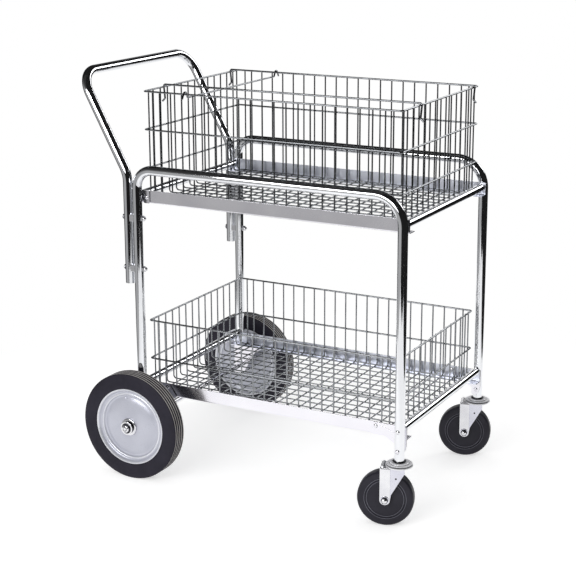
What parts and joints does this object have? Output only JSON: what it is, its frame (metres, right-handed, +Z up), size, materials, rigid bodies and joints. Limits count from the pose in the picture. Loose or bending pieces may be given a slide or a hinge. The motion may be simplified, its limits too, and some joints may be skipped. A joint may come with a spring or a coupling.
{
  "type": "wire mail cart",
  "caption": "Office mail cart with wire baskets on a bent tube frame, a push handle, large rear wheels and swivel casters in front.",
  "frame": {"origin": "on the floor, under the middle of the cart's overall length and width", "axes": "+X from the push handle to the casters, +Y to the cart's left-hand side as it is pushed, +Z up"},
  "size_m": [0.8549, 0.6134, 0.9489],
  "materials": {
    "chrome_tube": "bright chrome-plated tube",
    "zinc_sheet": "zinc-plated pressed sheet",
    "zinc_wire": "bright-plated welded wire",
    "bright_fastener": "bright-plated steel",
    "tyre_rubber": "matt black rubber",
    "silver_paint": "silver-painted pressed steel",
    "caster_rubber": "dark grey rubber"
  },
  "bodies": {
    "frame": {"push_handle": "chrome_tube", "rear_axle": "bright_fastener", "cross_tube_upper_front": "chrome_tube", "cross_tube_upper_rear": "chrome_tube", "shelf_angle_upper_near": "zinc_sheet", "handle_bolt_upper_near": "bright_fastener", "cap_nut_upper_near": "bright_fastener", "handle_spacer_upper_near": "bright_fastener", "shelf_angle_upper_far": "zinc_sheet", "handle_bolt_upper_far": "bright_fastener", "cap_nut_upper_far": "bright_fastener", "handle_spacer_upper_far": "bright_fastener", "cross_tube_lower_front": "chrome_tube", "cross_tube_lower_rear": "chrome_tube", "shelf_angle_lower_near": "zinc_sheet", "handle_bolt_lower_near": "bright_fastener", "cap_nut_lower_near": "bright_fastener", "handle_spacer_lower_near": "bright_fastener", "shelf_angle_lower_far": "zinc_sheet", "handle_bolt_lower_far": "bright_fastener", "cap_nut_lower_far": "bright_fastener", "handle_spacer_lower_far": "bright_fastener", "side_frame_near": "chrome_tube", "front_gusset_near": "zinc_sheet", "axle_plate_near": "zinc_sheet", "corner_plate_near": "zinc_sheet", "angle_rivet_front_near": "bright_fastener", "angle_rivet_rear_near": "bright_fastener", "leg_rivet_upper_near": "bright_fastener", "axle_cap_near": "bright_fastener", "caster_mount_near": "bright_fastener", "side_frame_far": "chrome_tube", "front_gusset_far": "zinc_sheet", "axle_plate_far": "zinc_sheet", "corner_plate_far": "zinc_sheet", "angle_rivet_front_far": "bright_fastener", "angle_rivet_rear_far": "bright_fastener", "leg_rivet_upper_far": "bright_fastener", "axle_cap_far": "bright_fastener", "caster_mount_far": "bright_fastener"},
    "rear_wheel_near": {"rear_tyre_near": "tyre_rubber", "rear_rim_outer_near": "silver_paint", "rear_rim_inner_near": "silver_paint", "rear_hub_near": "bright_fastener"},
    "caster_swivel_near": {"caster_fork_near": "bright_fastener", "caster_axle_near": "bright_fastener"},
    "caster_roller_near": {"caster_wheel_near": "caster_rubber"},
    "rear_wheel_far": {"rear_tyre_far": "tyre_rubber", "rear_rim_outer_far": "silver_paint", "rear_rim_inner_far": "silver_paint", "rear_hub_far": "bright_fastener"},
    "caster_swivel_far": {"caster_fork_far": "bright_fastener", "caster_axle_far": "bright_fastener"},
    "caster_roller_far": {"caster_wheel_far": "caster_rubber"},
    "upper_basket": {"upper_basket": "zinc_wire"},
    "lower_basket": {"lower_basket": "zinc_wire"},
    "cross_wire": {"cross_wire": "zinc_wire"},
    "hanging_rail_near": {"hanging_rail_near": "zinc_wire"},
    "hanging_rail_far": {"hanging_rail_far": "zinc_wire"}
  },
  "joints": [
    {"name": "rear_wheel_spin_near", "type": "hinge", "parent": "frame", "child": "rear_wheel_near", "pos_m": [-0.2656, -0.269, 0.127], "axis": [0, 1, 0], "continuous": true},
    {"name": "caster_swivel_near", "type": "hinge", "parent": "frame", "child": "caster_swivel_near", "pos_m": [0.3944, -0.2285, 0.14], "axis": [0, 0, 1], "continuous": true},
    {"name": "caster_roll_near", "type": "hinge", "parent": "caster_swivel_near", "child": "caster_roller_near", "pos_m": [0.36763, -0.23669, 0.0625], "axis": [-0.2924, 0.9563, 0], "continuous": true},
    {"name": "rear_wheel_spin_far", "type": "hinge", "parent": "frame", "child": "rear_wheel_far", "pos_m": [-0.2656, 0.269, 0.127], "axis": [0, 1, 0], "continuous": true},
    {"name": "caster_swivel_far", "type": "hinge", "parent": "frame", "child": "caster_swivel_far", "pos_m": [0.3944, 0.2285, 0.14], "axis": [0, 0, 1], "continuous": true},
    {"name": "caster_roll_far", "type": "hinge", "parent": "caster_swivel_far", "child": "caster_roller_far", "pos_m": [0.36763, 0.22031, 0.0625], "axis": [-0.2924, 0.9563, 0], "continuous": true},
    {"name": "upper_basket_lift", "type": "slide", "parent": "frame", "child": "upper_basket", "axis": [0, 0, 1], "range_m": [0, 0.25]},
    {"name": "lower_basket_lift", "type": "slide", "parent": "frame", "child": "lower_basket", "axis": [0, 0, 1], "range_m": [0, 0.24]},
    {"name": "near_rail_slide", "type": "slide", "parent": "upper_basket", "child": "hanging_rail_near", "axis": [0, 1, 0], "range_m": [-0.065, 0.14]},
    {"name": "far_rail_slide", "type": "slide", "parent": "upper_basket", "child": "hanging_rail_far", "axis": [0, 1, 0], "range_m": [-0.12, 0.021]},
    {"name": "cross_wire_slide", "type": "slide", "parent": "upper_basket", "child": "cross_wire", "axis": [1, 0, 0], "range_m": [-0.073, 0.487]}
  ]
}
